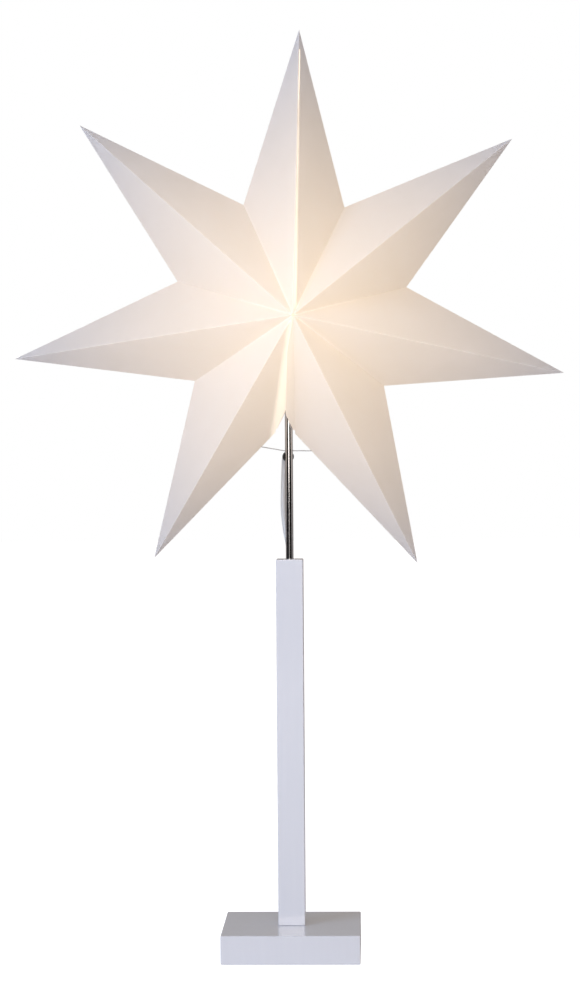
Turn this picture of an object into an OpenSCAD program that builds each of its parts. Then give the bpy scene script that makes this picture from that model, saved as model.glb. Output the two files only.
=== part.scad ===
// Paper star lantern: a folded seven-pointed paper shade round a small bulb.
// The shade is tied to a chromed tube that stands in a square wooden post on a base plate.
// The origin is on the floor under the middle of the base, and the star faces -Y.

/* [Base and post] */
// Side of the square base plate
base_w = 140; // [110:1:200]
// Thickness of the base plate
base_t = 29; // [24:1:40]
// Width of the eased edges on base and post
edge_ease = 1; // [0.5:0.1:2]
// Side of the square post
post_w = 27.5; // [26:0.5:40]
// Height of the post above the base plate
post_h = 373.5; // [250:0.5:450]
// Depth of the bore in the post that holds the tube
socket_depth = 40; // [25:1:80]

/* [Base screws] */
// Diameter of the screws' shanks
screw_d = 5; // [4:0.5:6]
// Length of the screws under their heads
screw_l = 55; // [40:1:70]
// Distance between the two screws
screw_gap = 16; // [14:0.5:17]
// Depth of the counterbores under the base
counterbore_depth = 8; // [6:0.5:12]

/* [Tube] */
// Outer diameter of the lamp tube
tube_d = 8; // [8:0.1:9]
// Wall thickness of the lamp tube
tube_wall = 0.7; // [0.5:0.1:0.8]
// Height of the tube above the post
tube_rise = 163.5; // [155:0.5:170]
// Height of the cord's exit above the post
exit_rise = 104.5; // [95:0.5:106]
// How far the cord's exit is turned from straight back towards the left
exit_turn = 20; // [10:1:25]

/* [Paper star] */
// Number of points on the star
point_count = 7; // [7:1:7]
// Radius of the ring of tips
tip_r = 286.3; // [260:0.1:300]
// Radius of the ring of inner corners
notch_r = 120.2; // [115:0.1:130]
// Depth of the star from its middle plane to its front peak
half_depth = 90; // [75:1:105]
// Thickness of the paper
paper_t = 0.4; // [0.3:0.05:0.6]
// Height of the star's middle above the post
star_rise = 252.2; // [250:0.1:258]
// How far the star's middle stands to the right of the tube
star_side = 3.2; // [2:0.1:5]
// How far the star is turned clockwise round its middle
star_turn = 1.9; // [1:0.1:2.5]
// How far the star's peaks sag below the ring of tips
hub_drop = 7.4; // [6:0.1:11]
// How far the star's peaks lie to the right of its middle
hub_side = 4.5; // [2:0.1:5]
// How far the inner corners sag below the ring of tips
notch_drop = 1.5; // [0:0.1:5]
// Width of the paper flanges that glue one point to the next
flange_w = 8; // [5:0.5:10]
// Width of the glued lap along one ridge of each point
lap_w = 4; // [3:0.5:5]
// Width of the small opening where the points meet at the peak
peak_hole = 1.8; // [1.5:0.1:4]

/* [Open seam] */
// Angle by which the arms together fall short of a full turn
seam_gap = 5.5; // [5:0.1:6]
// Distance of the two inner corners at the seam from the star's middle
seam_r = 123; // [118:0.1:130]
// Angle of the left free edge from the star's axis
seam_left = 6.1; // [5.5:0.1:7]
// Angle of the right free edge from the star's axis
seam_right = 3.4; // [3.2:0.1:4.5]
// Width of the free flanges at the seam
free_flange_w = 9.5; // [8:0.5:10]
// How far the left free flange is turned inwards
left_flange_turn = 45; // [40:1:60]
// How far the right free flange is lifted to the front
right_flange_lift = 18; // [15:1:25]

/* [Tie string] */
// Diameter of the string
string_d = 1.2; // [0.8:0.1:1.6]
// Distance of the left hole from the left inner corner
tie_hole_left = 20; // [16:0.5:26]
// Distance of the right hole from the right inner corner
tie_hole_right = 24; // [20:0.5:28]

/* [Lamp holder and bulb] */
// Outer diameter of the lamp holder's shell
holder_d = 28; // [26:0.5:30]
// Wall thickness of the holder's mouldings
holder_wall = 1.5; // [1.2:0.1:2]
// Diameter of the bulb's screw cap
bulb_cap_d = 13.7; // [13.5:0.1:13.9]
// Diameter of the bulb's globe
globe_d = 45; // [35:1:50]
// Whole length of the bulb
bulb_l = 78; // [72:1:82]

/* [Cord] */
// Diameter of the power cord
cord_d = 5; // [4.5:0.1:5]
// Diameter of the coil at the middle of its turns
coil_mean_d = 50; // [48:1:52]
// Number of turns side by side in the coil
coil_turns_wide = 4; // [3:1:4]
// Thickness of the strap round the coil
strap_t = 0.8; // [0.5:0.1:1]

/* [Hidden] */

$fn = 48;

// Clearances
fit_gap = 0.05;
screw_clear = 0.3;
cord_clear = 0.1;
cut = 1;

// Heights of the stand
post_top = base_t + post_h;
tube_r = tube_d / 2;
tube_bore_r = tube_r - tube_wall;
tube_bottom = post_top - socket_depth;
tube_top = post_top + tube_rise;
exit_z = post_top + exit_rise;

// Cord exit: the grommet's sizes, and the way the cord leaves
cord_r = cord_d / 2;
grommet_bore_r = cord_r + cord_clear;
grommet_barrel_r = grommet_bore_r + 0.5;
grommet_head_r = grommet_bore_r + 2.7;
grommet_head_l = 2.6;
grommet_round = 1.4;
tube_hole_r = grommet_barrel_r + fit_gap;
jacket_start = sqrt(pow(tube_bore_r, 2) - pow(min(cord_r, tube_bore_r - 0.1), 2));
exit_way = [-sin(exit_turn), cos(exit_turn), 0];
grommet_way = (tube_r + grommet_head_l - jacket_start) / 2;

// Wires inside the tube
wire_r = 0.8;
wire_gap = 2.2;

// Lamp holder, stacked upwards from the end of the tube
holder_r = holder_d / 2;
collar_wall = 2.4;
collar_l = 10;
cap_floor_t = 2;
cap_cone_h = 6;
cap_rim_h = 8;
wire_hole_r = 2.6;
cap_floor_z = tube_top + cap_floor_t + cap_cone_h;
block_t = 6;
block_r = holder_r - holder_wall - fit_gap;
block_top = cap_floor_z + block_t;
cap_rim_z = cap_floor_z + cap_rim_h;
shell_h = 28;
shell_top = cap_rim_z + shell_h;
shell_lip = 1.5;
sleeve_wall = 0.35;
sleeve_foot_t = 0.6;
sleeve_h = 26;
sleeve_bore_r = bulb_cap_d / 2 + fit_gap;
sleeve_r = sleeve_bore_r + sleeve_wall;
contact_r = 2.5;
contact_h = 3;
contact_top = block_top + contact_h;

// Bulb
cap_l = 27;
tip_r_bulb = 2.4;
tip_h = 1.5;
insulator_h = 3;
neck_r = 9;
globe_r = globe_d / 2;
bulb_cap_r = bulb_cap_d / 2;

// Star
star_centre = [star_side, 0, post_top + star_rise];
point_pitch = (360 - seam_gap) / point_count;
middle_point = (point_count + 1) / 2;
hub_front = star_centre + [hub_side, -half_depth, -hub_drop];
hub_back = mirrored(hub_front);
middle_plane = [[0, 1, 0], 0];
flange_start = 0.18;
flange_end = 0.86;
free_flange_start = 0.3;
free_flange_end = 0.82;
free_flange_taper = 0.69;
lap_root = 0.03;
lap_tip = 0.93;
lap_inset = 1;
// Unevenness of a hand-folded star: how far each tip lies off its regular place
tip_shift = [[1.2, 0, -2.6], [-0.2, 0, 0.6], [0.7, 0, 2.7], [0.6, 0, 0], [-1.3, 0, -0.6],
    [-1.6, 0, 0.8], [0.9, 0, -0.3]];
tie_hole_r = string_d / 2 + 0.7;

// Tie string
string_r = string_d / 2;
tie_z = exit_z + grommet_head_r + string_r + fit_gap;
tie_wrap_r = tube_r + string_r + fit_gap;
tie_wrap_steps = 8;
tail_in_paper = 3.8;
knot_r = 1.5;

// Cord route: round numbers chosen by hand, from the grommet down behind the post and
// over the back of the base to the side of the coil
route = [[-4.1, 12.2, 506.8], [-5.2, 18.8, 504.8], [-5.8, 24, 500], [-6.2, 27, 493],
    [-6.6, 28.2, 484], [-7, 28.5, 472], [-7.2, 28, 452], [-5.2, 27, 432], [-2.4, 26, 416],
    [-1.2, 25, 395], [-1, 24.5, 360], [-1, 24.5, 300], [-1, 24.5, 240], [-1, 24.5, 180],
    [-1, 24.6, 120], [-1, 25.2, 90], [-1, 27, 68], [-1, 31.5, 51], [-1, 39.5, 38.5],
    [-1, 50, 33], [-1, 60, 32], [-1, 69, 32], [-1.3, 76, 29.6], [-1.8, 82, 24.5],
    [-2.3, 87.5, 17.5], [-2.8, 93, 10], [-3.2, 100, 4.6], [-3.5, 109, 2.7], [-3.5, 118, 2.7]];
// Short end of the cord, from the top of the coil to the plug
tail_route = [[15.2, 85.4, 8.3], [11.2, 87.4, 8], [7.2, 88.5, 7.4], [3.6, 89, 7], [2.8, 89, 7],
    [2, 89, 7]];
ring_steps = 2;
cord_sides = 8;

// Coil, lying beside the end of the route
coil_centre = [34, 118];
coil_layers = 2;
coil_in_r = coil_mean_d / 2 - coil_turns_wide * cord_r;
coil_out_r = coil_mean_d / 2 + coil_turns_wide * cord_r;
coil_z = strap_t;
coil_h = coil_layers * cord_d;
coil_round = 1.5;
strap_w = 8;
strap_angle = 40;

// Plug, lying flat where the tail ends
plug_entry = [2, 89, 7];
plug_t = 14;
plug_l = 27;
plug_front_w = 33;
plug_rear_w = 15;
plug_ease = 1.5;
relief_l = 20;
relief_small_r = 3.2;
relief_r = 5.5;
pin_r = 2;
pin_l = 19;
pin_gap = 18.6;
pin_seat = 5;

// Vector helpers. A plane is its unit normal and its distance from the origin.
function unit(v) = v / norm(v);
function mirrored(p) = [p[0], -p[1], p[2]];
function square_to(v, way) = unit(v - (v * way) * way);
function plane_at(p, normal) = [unit(normal), unit(normal) * p];
function plane_facing(a, b, c, inside) =
    let (n = unit(cross(b - a, c - a)), s = n * (inside - a) > 0 ? 1 : -1) [s * n, s * n * a];
function inset(plane, depth) = [plane[0], plane[1] + depth];
function meet(p, q, r) =
    (p[1] * cross(q[0], r[0]) + q[1] * cross(r[0], p[0]) + r[1] * cross(p[0], q[0]))
    / (p[0] * cross(q[0], r[0]));

// Places on the star
function ring_point(radius, angle, drop) =
    star_centre + [radius * sin(angle + star_turn), 0, radius * cos(angle + star_turn) - drop];
function tip(i) = ring_point(tip_r, (i - middle_point) * point_pitch, 0) + tip_shift[i - 1];
function left_notch(i) = i == 1 ? ring_point(seam_r, seam_left - 180, notch_drop)
    : ring_point(notch_r, (i - middle_point - 0.5) * point_pitch, notch_drop);
function right_notch(i) = i == point_count ?
    ring_point(seam_r, 180 - seam_right, notch_drop) : left_notch(i + 1);

// Direction in which a flange leaves its fold: into the star where it is glued to the next
// point, turned inwards at the left free edge, and lifted to the front at the right free edge
function flange_way(i, side) = let (fold = unit((side < 0 ? left_notch(i) : right_notch(i)) - hub_front))
    i == 1 && side < 0 ? square_to([cos(left_flange_turn), sin(left_flange_turn), 0], fold)
    : i == point_count && side > 0 ?
        square_to([-cos(right_flange_lift), -sin(right_flange_lift), 0], fold)
    : square_to(hub_back - hub_front, fold);
function is_free(i, side) = (i == 1 && side < 0) || (i == point_count && side > 0);

// Outer and inner points of one front flange: [outer at peak, outer edge points, inner ones]
function flange_points(i, side) = let (
    notch = side < 0 ? left_notch(i) : right_notch(i),
    length = norm(notch - hub_front),
    fold = unit(notch - hub_front),
    way = flange_way(i, side),
    free = is_free(i, side),
    start = (free ? free_flange_start : flange_start) * length,
    end = (free ? free_flange_end : flange_end) * length,
    width = free ? free_flange_w : flange_w,
    root = hub_front + fold * peak_hole,
    near = hub_front + fold * start + way * width * (free ? free_flange_taper : 1),
    far = hub_front + fold * end + way * width,
    face = inset(plane_facing(hub_front, notch, tip(i), hub_back), paper_t),
    leaf = plane_facing(hub_front, notch, hub_front + way, (tip(i) + hub_back) / 2),
    inner_leaf = inset(leaf, paper_t))
    [[root, near, far, notch],
     [meet(face, inner_leaf, plane_at(root, fold)), near + leaf[0] * paper_t,
      far + leaf[0] * paper_t, meet(face, inner_leaf, middle_plane)]];

// Ridge of one point: its outer and inner start beside the peak, and the inner tip
function ridge_start(i) = hub_front + unit(tip(i) - hub_front) * peak_hole;
function left_face(i) = plane_facing(hub_front, left_notch(i), tip(i), hub_back);
function right_face(i) = plane_facing(hub_front, right_notch(i), tip(i), hub_back);
function inner_ridge(i, plane) = meet(inset(left_face(i), paper_t), inset(right_face(i), paper_t), plane);

// The rim of one folded sheet, round its open side, then its tip
function sheet_rim(start, left, right, end) =
    [start, left[0], left[1], left[2], left[3], mirrored(left[2]), mirrored(left[1]),
     mirrored(left[0]), mirrored(start), mirrored(right[0]), mirrored(right[1]),
     mirrored(right[2]), right[3], right[2], right[1], right[0], end];

rim_count = 16;
sheet_faces = [[0, 1, 4, 16], [1, 2, 3, 4], [4, 5, 6, 7], [4, 7, 8, 16],
    [8, 9, 12, 16], [9, 10, 11, 12], [12, 13, 14, 15], [12, 15, 0, 16]];
box_faces = [[0, 1, 2, 3], [7, 6, 5, 4], [1, 0, 4, 5], [2, 1, 5, 6], [3, 2, 6, 7], [0, 3, 7, 4]];

// Points of a smooth curve through a route, and the swept tube round it
function curve_at(a, b, c, d, t) =
    0.5 * (2 * b + (c - a) * t + (2 * a - 5 * b + 4 * c - d) * t * t + (3 * b - a - 3 * c + d) * t * t * t);
function smooth(p, steps) = let (n = len(p) - 1)
    concat([for (i = [0 : n - 1], s = [0 : steps - 1])
        curve_at(p[max(i - 1, 0)], p[i], p[i + 1], p[min(i + 2, n)], s / steps)], [p[n]]);
function ring_round(p, way, side, radius, sides) = let (u = square_to(side, way), v = cross(way, u))
    [for (k = [0 : sides - 1]) p + radius * (cos(360 * k / sides) * u + sin(360 * k / sides) * v)];

module swept(p, radius, sides, side) {
    n = len(p) - 1;
    rings = [for (i = [0 : n])
        ring_round(p[i], unit(p[min(i + 1, n)] - p[max(i - 1, 0)]), side, radius, sides)];
    polyhedron(
        points = [for (ring = rings, q = ring) q],
        faces = concat([[for (k = [0 : sides - 1]) k]],
            [[for (k = [sides - 1 : -1 : 0]) n * sides + k]],
            [for (i = [0 : n - 1], k = [0 : sides - 1])
                [i * sides + k, (i + 1) * sides + k, (i + 1) * sides + (k + 1) % sides,
                 i * sides + (k + 1) % sides]]),
        convexity = 8);
}

// Square with its corners cut off
module eased_square(w, h, e) {
    polygon([[e, 0], [w - e, 0], [w, e], [w, h - e], [w - e, h], [e, h], [0, h - e], [0, e]]);
}

// Block standing on the middle of its foot, with every edge eased
module eased_block(w, h, e) {
    intersection() {
        translate([-w / 2, -w / 2, 0]) linear_extrude(h) eased_square(w, w, e);
        translate([-w / 2, w / 2, 0]) rotate([90, 0, 0]) linear_extrude(w) eased_square(w, h, e);
        translate([-w / 2, -w / 2, 0]) rotate([90, 0, 90]) linear_extrude(w) eased_square(w, h, e);
    }
}

module at_screws() {
    for (side = [-1, 1]) translate([0, side * screw_gap / 2, 0]) children();
}

// Places its children along the cord's way out of the tube, from the tube's axis
module along_exit() {
    translate([0, 0, exit_z]) rotate([-90, 0, exit_turn]) children();
}

module base_plate() {
    color("ghostwhite") difference() {
        eased_block(base_w, base_t, edge_ease);
        at_screws() {
            translate([0, 0, -cut]) cylinder(r = screw_d + screw_clear, h = counterbore_depth + cut);
            translate([0, 0, -cut]) cylinder(d = screw_d + 2 * screw_clear, h = base_t + 2 * cut);
        }
    }
}

module post() {
    color("lavender") difference() {
        translate([0, 0, base_t]) intersection() {
            translate([-post_w / 2, -post_w / 2, 0]) linear_extrude(post_h)
                eased_square(post_w, post_w, edge_ease);
            translate([0, 0, -edge_ease]) eased_block(post_w, post_h + edge_ease, edge_ease);
        }
        translate([0, 0, tube_bottom]) cylinder(r = tube_r + fit_gap, h = socket_depth + cut);
        at_screws() translate([0, 0, base_t - cut])
            cylinder(d = screw_d + 2 * fit_gap, h = counterbore_depth + screw_l - base_t + 2 * cut);
    }
}

// Two screws up through the base: round head with a cross recess, and a pointed shank
module base_screws() {
    head_h = 0.7 * screw_d;
    recess = 0.24 * screw_d;
    color("silver") at_screws() difference() {
        union() {
            translate([0, 0, counterbore_depth]) cylinder(d = screw_d, h = screw_l - screw_d);
            translate([0, 0, counterbore_depth + screw_l - screw_d])
                cylinder(d1 = screw_d, d2 = 1, h = screw_d);
            translate([0, 0, counterbore_depth - head_h]) rotate_extrude()
                polygon([[0, 0], [0.7 * screw_d, 0], [screw_d, 0.3 * head_h], [screw_d, head_h],
                    [0, head_h]]);
        }
        for (turn = [0, 90]) rotate([0, 0, turn])
            translate([-0.6 * screw_d, -recess / 2, counterbore_depth - head_h - cut])
            cube([1.2 * screw_d, recess, head_h / 2 + cut]);
    }
}

module lamp_tube() {
    color("silver") difference() {
        translate([0, 0, tube_bottom]) cylinder(r = tube_r, h = tube_top - tube_bottom);
        translate([0, 0, tube_bottom - cut])
            cylinder(r = tube_bore_r, h = tube_top - tube_bottom + 2 * cut);
        along_exit() cylinder(r = tube_hole_r, h = tube_d);
    }
}

// Rubber grommet: a barrel through the tube's wall and a domed head shaped to the tube
module cord_grommet() {
    head_end = tube_r + grommet_head_l;
    color([0.05, 0.05, 0.06]) along_exit() difference() {
        union() {
            translate([0, 0, jacket_start]) cylinder(r = grommet_barrel_r, h = tube_r - jacket_start);
            difference() {
                rotate_extrude() union() {
                    square([grommet_head_r, head_end - grommet_round]);
                    square([grommet_head_r - grommet_round, head_end]);
                    translate([grommet_head_r - grommet_round, head_end - grommet_round])
                        circle(r = grommet_round);
                }
                rotate([90, 0, 0]) cylinder(r = tube_r + fit_gap, h = 4 * grommet_head_r, center = true);
                translate([0, 0, -head_end]) cylinder(r = 2 * grommet_head_r, h = head_end);
            }
            translate([0, 0, jacket_start]) cylinder(r = grommet_barrel_r, h = head_end - jacket_start - cut);
        }
        cylinder(r = grommet_bore_r, h = head_end + cut);
    }
}

// One insulated wire: out of the cord's jacket and up the tube to the contact block
module wire(side) {
    at = side * wire_gap / 2;
    top = cap_floor_z - exit_z;
    translate([0, 0, exit_z]) rotate([0, 0, exit_turn]) translate([at, 0, 0]) {
        cylinder(r = wire_r, h = top, $fn = 24);
        rotate([-90, 0, 0]) cylinder(r = wire_r, h = jacket_start, $fn = 24);
        sphere(r = wire_r, $fn = 24);
    }
}

module wire_brown() {
    color("saddlebrown") wire(-1);
}

module wire_blue() {
    color("royalblue") wire(1);
}

// Holder cap: a collar that slides over the tube and stands on its end, and a cup above it
module holder_cap() {
    collar_r = tube_r + fit_gap + collar_wall;
    color("whitesmoke") difference() {
        rotate_extrude() polygon([
            [wire_hole_r, tube_top], [tube_r + fit_gap, tube_top],
            [tube_r + fit_gap, tube_top - collar_l], [collar_r, tube_top - collar_l],
            [collar_r, tube_top], [holder_r, cap_floor_z - cap_floor_t],
            [holder_r, cap_rim_z], [holder_r - holder_wall, cap_rim_z],
            [holder_r - holder_wall, cap_floor_z], [wire_hole_r, cap_floor_z]]);
    }
}

// Contact block: ceramic disc on the cap's floor, with two holes for the wires
module contact_block() {
    color("antiquewhite") difference() {
        translate([0, 0, cap_floor_z]) cylinder(r = block_r, h = block_t);
        rotate([0, 0, exit_turn]) for (side = [-1, 1])
            translate([side * wire_gap / 2, 0, cap_floor_z - cut]) cylinder(r = wire_r + fit_gap, h = 3);
    }
}

// Thread sleeve: brass tube with a small foot that stands on the contact block
module thread_sleeve() {
    color("goldenrod") rotate_extrude() polygon([
        [sleeve_bore_r, block_top], [sleeve_r + 2, block_top], [sleeve_r + 2, block_top + sleeve_foot_t],
        [sleeve_r, block_top + sleeve_foot_t], [sleeve_r, block_top + sleeve_h],
        [sleeve_bore_r, block_top + sleeve_h]]);
}

module centre_contact() {
    color("gold") translate([0, 0, block_top]) cylinder(r = contact_r, h = contact_h);
}

// Holder shell: stands on the cap's rim, with a lip inside it and a ledge over the sleeve
module holder_shell() {
    spigot_r = holder_r - holder_wall - fit_gap;
    inner_r = spigot_r - holder_wall;
    color("whitesmoke") rotate_extrude() polygon([
        [inner_r, block_top], [spigot_r, block_top], [spigot_r, cap_rim_z], [holder_r, cap_rim_z],
        [holder_r, shell_top - 1], [holder_r - 1, shell_top],
        [sleeve_r + shell_lip, shell_top], [sleeve_r + shell_lip, shell_top - shell_lip],
        [inner_r, shell_top - shell_lip]]);
}

// Bulb: contact tip, glass insulator, screw cap, neck and opal globe in one sealed solid
module bulb() {
    cap_z = contact_top + tip_h + insulator_h;
    neck_z = contact_top + cap_l;
    globe_z = contact_top + bulb_l - globe_r;
    color("ivory") rotate_extrude() union() {
        polygon([[0, contact_top], [tip_r_bulb, contact_top], [tip_r_bulb, contact_top + tip_h],
            [bulb_cap_r, cap_z], [bulb_cap_r, neck_z], [neck_r, neck_z + 2], [neck_r, neck_z + 4],
            [neck_r + 4, globe_z - sqrt(pow(globe_r, 2) - pow(neck_r + 4, 2))], [0, globe_z]]);
        intersection() {
            translate([0, globe_z]) circle(r = globe_r, $fn = 96);
            translate([0, globe_z - globe_r]) square([globe_r, globe_d]);
        }
    }
}

// Glued lap: a second layer of the same sheet inside one ridge, on the right-hand face
module ridge_lap(i) {
    face = right_face(i);
    ridge = unit(tip(i) - hub_front);
    way = square_to(right_notch(i) - hub_front, ridge);
    length = norm(tip(i) - hub_front);
    function lap_point(along, across, depth) =
        hub_front + ridge * along * length + way * across + face[0] * depth;
    function lap_layer(depth) = [lap_point(lap_root, lap_inset, depth), lap_point(lap_tip, lap_inset, depth),
        lap_point(lap_tip, lap_w / 2, depth), lap_point(lap_root, lap_w, depth)];
    polyhedron(points = concat(lap_layer(paper_t / 2), lap_layer(2 * paper_t)), faces = box_faces);
}

// One folded point of the star: four faces, and flanges along its four inner folds
module folded_sheet(i) {
    left = flange_points(i, -1);
    right = flange_points(i, 1);
    start = ridge_start(i);
    outer = sheet_rim(start, left[0], right[0], tip(i));
    inner = sheet_rim(inner_ridge(i, plane_at(start, tip(i) - hub_front)), left[1], right[1],
        inner_ridge(i, middle_plane));
    shift = len(outer);
    polyhedron(
        points = concat(outer, inner),
        faces = concat(sheet_faces,
            [for (face = sheet_faces) [for (k = [len(face) - 1 : -1 : 0]) face[k] + shift]],
            [for (k = [0 : rim_count - 1]) let (next = (k + 1) % rim_count)
                [next, k, k + shift, next + shift]]),
        convexity = 6);
}

// Point where the string goes through the lower edge of the first or the last point
function tie_hole(side) = side < 0 ?
    left_notch(1) + unit(tip(1) - left_notch(1)) * tie_hole_left
    : right_notch(point_count) + unit(tip(point_count) - right_notch(point_count)) * tie_hole_right;

// Where the string leaves the tube's side, its way from there to the hole, and that way's lean
function tie_start(side) = [side * tie_wrap_r, 0, tie_z];
function tie_way(side) = unit(tie_hole(side) - tie_start(side));
function tie_lean(side) = atan2(tie_way(side)[0], tie_way(side)[2]);

module star_point(i) {
    side = i == 1 ? -1 : 1;
    color("antiquewhite") difference() {
        union() {
            folded_sheet(i);
            if (i == middle_point) ridge_lap(i);
            else mirror([0, 1, 0]) ridge_lap(i);
        }
        if (i == 1 || i == point_count)
            translate(tie_hole(side)) rotate([0, tie_lean(side), 0])
                cylinder(r = tie_hole_r, h = 4 * tie_hole_r, center = true, $fn = 24);
    }
}

// String from the left point, round the back of the tube, to the right point, with end knots
module tie_string() {
    left = tie_hole(-1);
    right = tie_hole(1);
    left_end = left + tie_way(-1) * tail_in_paper;
    right_end = right + tie_way(1) * tail_in_paper;
    path = concat([left_end, left],
        [for (k = [0 : tie_wrap_steps])
            [-tie_wrap_r * cos(180 * k / tie_wrap_steps), tie_wrap_r * sin(180 * k / tie_wrap_steps), tie_z]],
        [right, right_end]);
    color("lightgray") {
        swept(path, string_r, 6, [0, 0, 1]);
        for (end = [left_end, right_end]) translate(end) sphere(r = knot_r, $fn = 16);
    }
}

module power_cord() {
    straight = [for (k = [0 : 2]) (jacket_start + k * grommet_way) * exit_way + [0, 0, exit_z]];
    color("white") swept(smooth(concat(straight, route), ring_steps), cord_r, cord_sides, [1, 0, 0]);
}

module cord_coil() {
    color("white") translate([coil_centre[0], coil_centre[1], coil_z]) rotate_extrude()
        translate([coil_in_r, 0]) eased_square(coil_out_r - coil_in_r, coil_h, coil_round);
}

// Strap round the coil, lying under it, up its sides and over it
module coil_strap() {
    width = coil_out_r - coil_in_r;
    color("dimgray") translate([coil_centre[0], coil_centre[1], 0]) rotate([0, 0, strap_angle])
        translate([coil_mean_d / 2, strap_w / 2, coil_z + coil_h / 2]) rotate([90, 0, 0])
        linear_extrude(strap_w) difference() {
            square([width + 2 * strap_t + 2, coil_h + 2 * strap_t], center = true);
            square([width + 2, coil_h], center = true);
        }
}

module cord_tail() {
    color("white") swept(smooth(tail_route, ring_steps), cord_r, cord_sides, [0, 0, 1]);
}

// Flat two-pin plug: a tapered body with a short relief on the cord's side
module plug_body() {
    color("white") translate(plug_entry) difference() {
        union() {
            translate([-relief_l, 0, 0]) rotate([0, 90, 0])
                cylinder(r1 = relief_r, r2 = relief_small_r, h = relief_l);
            translate([-relief_l - plug_l, 0, 0]) intersection() {
                translate([0, 0, -plug_t / 2]) linear_extrude(plug_t) polygon([
                    [0, -plug_front_w / 2 + plug_ease], [plug_ease, -plug_front_w / 2],
                    [0.35 * plug_l, -plug_front_w / 2], [plug_l, -plug_rear_w / 2],
                    [plug_l, plug_rear_w / 2], [0.35 * plug_l, plug_front_w / 2],
                    [plug_ease, plug_front_w / 2], [0, plug_front_w / 2 - plug_ease]]);
                rotate([90, 0, 90]) linear_extrude(plug_l) translate([-plug_front_w / 2, -plug_t / 2])
                    eased_square(plug_front_w, plug_t, plug_ease);
            }
        }
        for (side = [-1, 1]) translate([-relief_l - plug_l - cut, side * pin_gap / 2, 0])
            rotate([0, 90, 0]) cylinder(r = pin_r + fit_gap, h = pin_seat + cut);
    }
}

module plug_pin(side) {
    color("silver") translate(plug_entry + [pin_seat - relief_l - plug_l, side * pin_gap / 2, 0])
        rotate([0, -90, 0]) {
            cylinder(r = pin_r, h = pin_seat + pin_l - pin_r, $fn = 24);
            translate([0, 0, pin_seat + pin_l - pin_r]) sphere(r = pin_r, $fn = 24);
        }
}

base_plate();
post();
base_screws();
lamp_tube();
cord_grommet();
wire_brown();
wire_blue();
holder_cap();
holder_shell();
contact_block();
thread_sleeve();
centre_contact();
bulb();
star_point(1);  // star_point_1
star_point(2);  // star_point_2
star_point(3);  // star_point_3
star_point(4);  // star_point_4
star_point(5);  // star_point_5
star_point(6);  // star_point_6
star_point(7);  // star_point_7
tie_string();
power_cord();
cord_coil();
coil_strap();
cord_tail();
plug_body();
plug_pin(-1);  // plug_pin_left
plug_pin(1);  // plug_pin_right
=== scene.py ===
"""Paper star lantern: the cord, the paper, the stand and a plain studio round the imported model."""

import math

import bmesh
import bpy
import numpy as np
from mathutils import Matrix, Vector, noise


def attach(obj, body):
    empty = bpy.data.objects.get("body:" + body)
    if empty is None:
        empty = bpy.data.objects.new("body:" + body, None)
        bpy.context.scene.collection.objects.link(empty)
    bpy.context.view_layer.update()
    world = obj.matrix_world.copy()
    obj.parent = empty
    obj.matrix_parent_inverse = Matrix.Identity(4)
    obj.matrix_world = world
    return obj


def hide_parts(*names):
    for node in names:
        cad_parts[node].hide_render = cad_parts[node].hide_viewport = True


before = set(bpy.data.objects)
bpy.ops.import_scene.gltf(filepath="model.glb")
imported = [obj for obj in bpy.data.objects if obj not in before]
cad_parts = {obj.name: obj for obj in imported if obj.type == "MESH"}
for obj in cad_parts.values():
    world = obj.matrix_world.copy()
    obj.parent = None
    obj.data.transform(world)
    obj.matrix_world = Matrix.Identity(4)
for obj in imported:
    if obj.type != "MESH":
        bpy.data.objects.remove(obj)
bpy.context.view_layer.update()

bl_info = {
    "name": "Paper star lantern",
    "version": (1, 0, 0),
    "blender": (4, 5, 0),
    "location": "View3D > Sidebar > Star lantern",
    "description": "Builds a lit, folded paper star on a lacquered stand",
    "category": "Object",
}

MM = 0.001
FAR = 0.05  # metres from a fold, beyond the reach of its painted glow
POINT_COUNT = 7
MIDDLE_POINT = 4
BOX_FACES = [(3, 2, 1, 0), (4, 5, 6, 7), (0, 1, 5, 4), (1, 2, 6, 5), (2, 3, 7, 6), (3, 0, 4, 7)]


def v3(*values):
    """Vector of three numbers, as floats."""
    return np.array(values, dtype=float)


# Measures shared with the solids, in millimetres
POST_TOP = 402.5
TUBE_TOP = 566.0
TUBE_BOTTOM = 362.5
EXIT_HEIGHT = 507.0
EXIT_TURN = 20.0
CAP_FLOOR = 574.0
CAP_RIM = 582.0
BLOCK_TOP = 580.0
SHELL_TOP = 610.0
BULB_FOOT = 583.0
TUBE_RADIUS = 4.0
GROMMET_HEAD = 5.3
STRING_RADIUS = 0.6
GAP = 0.05
KNOT_REACH = 3.8
GLOBE_TOP = 78
GLOBE_RADIUS = 22.5
THREAD_PITCH = 2.82
BASE_WIDTH = 140
BASE_TOP = 29
POST_WIDTH = 27.5

# The cord's route from the grommet, down behind the post and over the base, to the coil
CORD_ROUTE = (
    (-4.1, 12.2, 506.8), (-5.2, 18.8, 504.8), (-5.8, 24, 500), (-6.2, 27, 493), (-6.6, 28.2, 484),
    (-7, 28.5, 472), (-7.2, 28, 452), (-5.2, 27, 432), (-2.4, 26, 416), (-1.2, 25, 395),
    (-1, 24.5, 360), (-1, 24.5, 300), (-1, 24.5, 240), (-1, 24.5, 180), (-1, 24.6, 120),
    (-1, 25.2, 90), (-1, 27, 68), (-1, 31.5, 51), (-1, 39.5, 38.5), (-1, 50, 33), (-1, 60, 32),
    (-1, 69, 32), (-1.3, 76, 29.6), (-1.8, 82, 24.5), (-2.3, 87.5, 17.5), (-2.8, 93, 10),
    (-3.2, 100, 4.6), (-3.5, 109, 2.7), (-3.5, 118, 2.7),
)
COIL_CENTRE = (34.0, 118.0)
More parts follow.
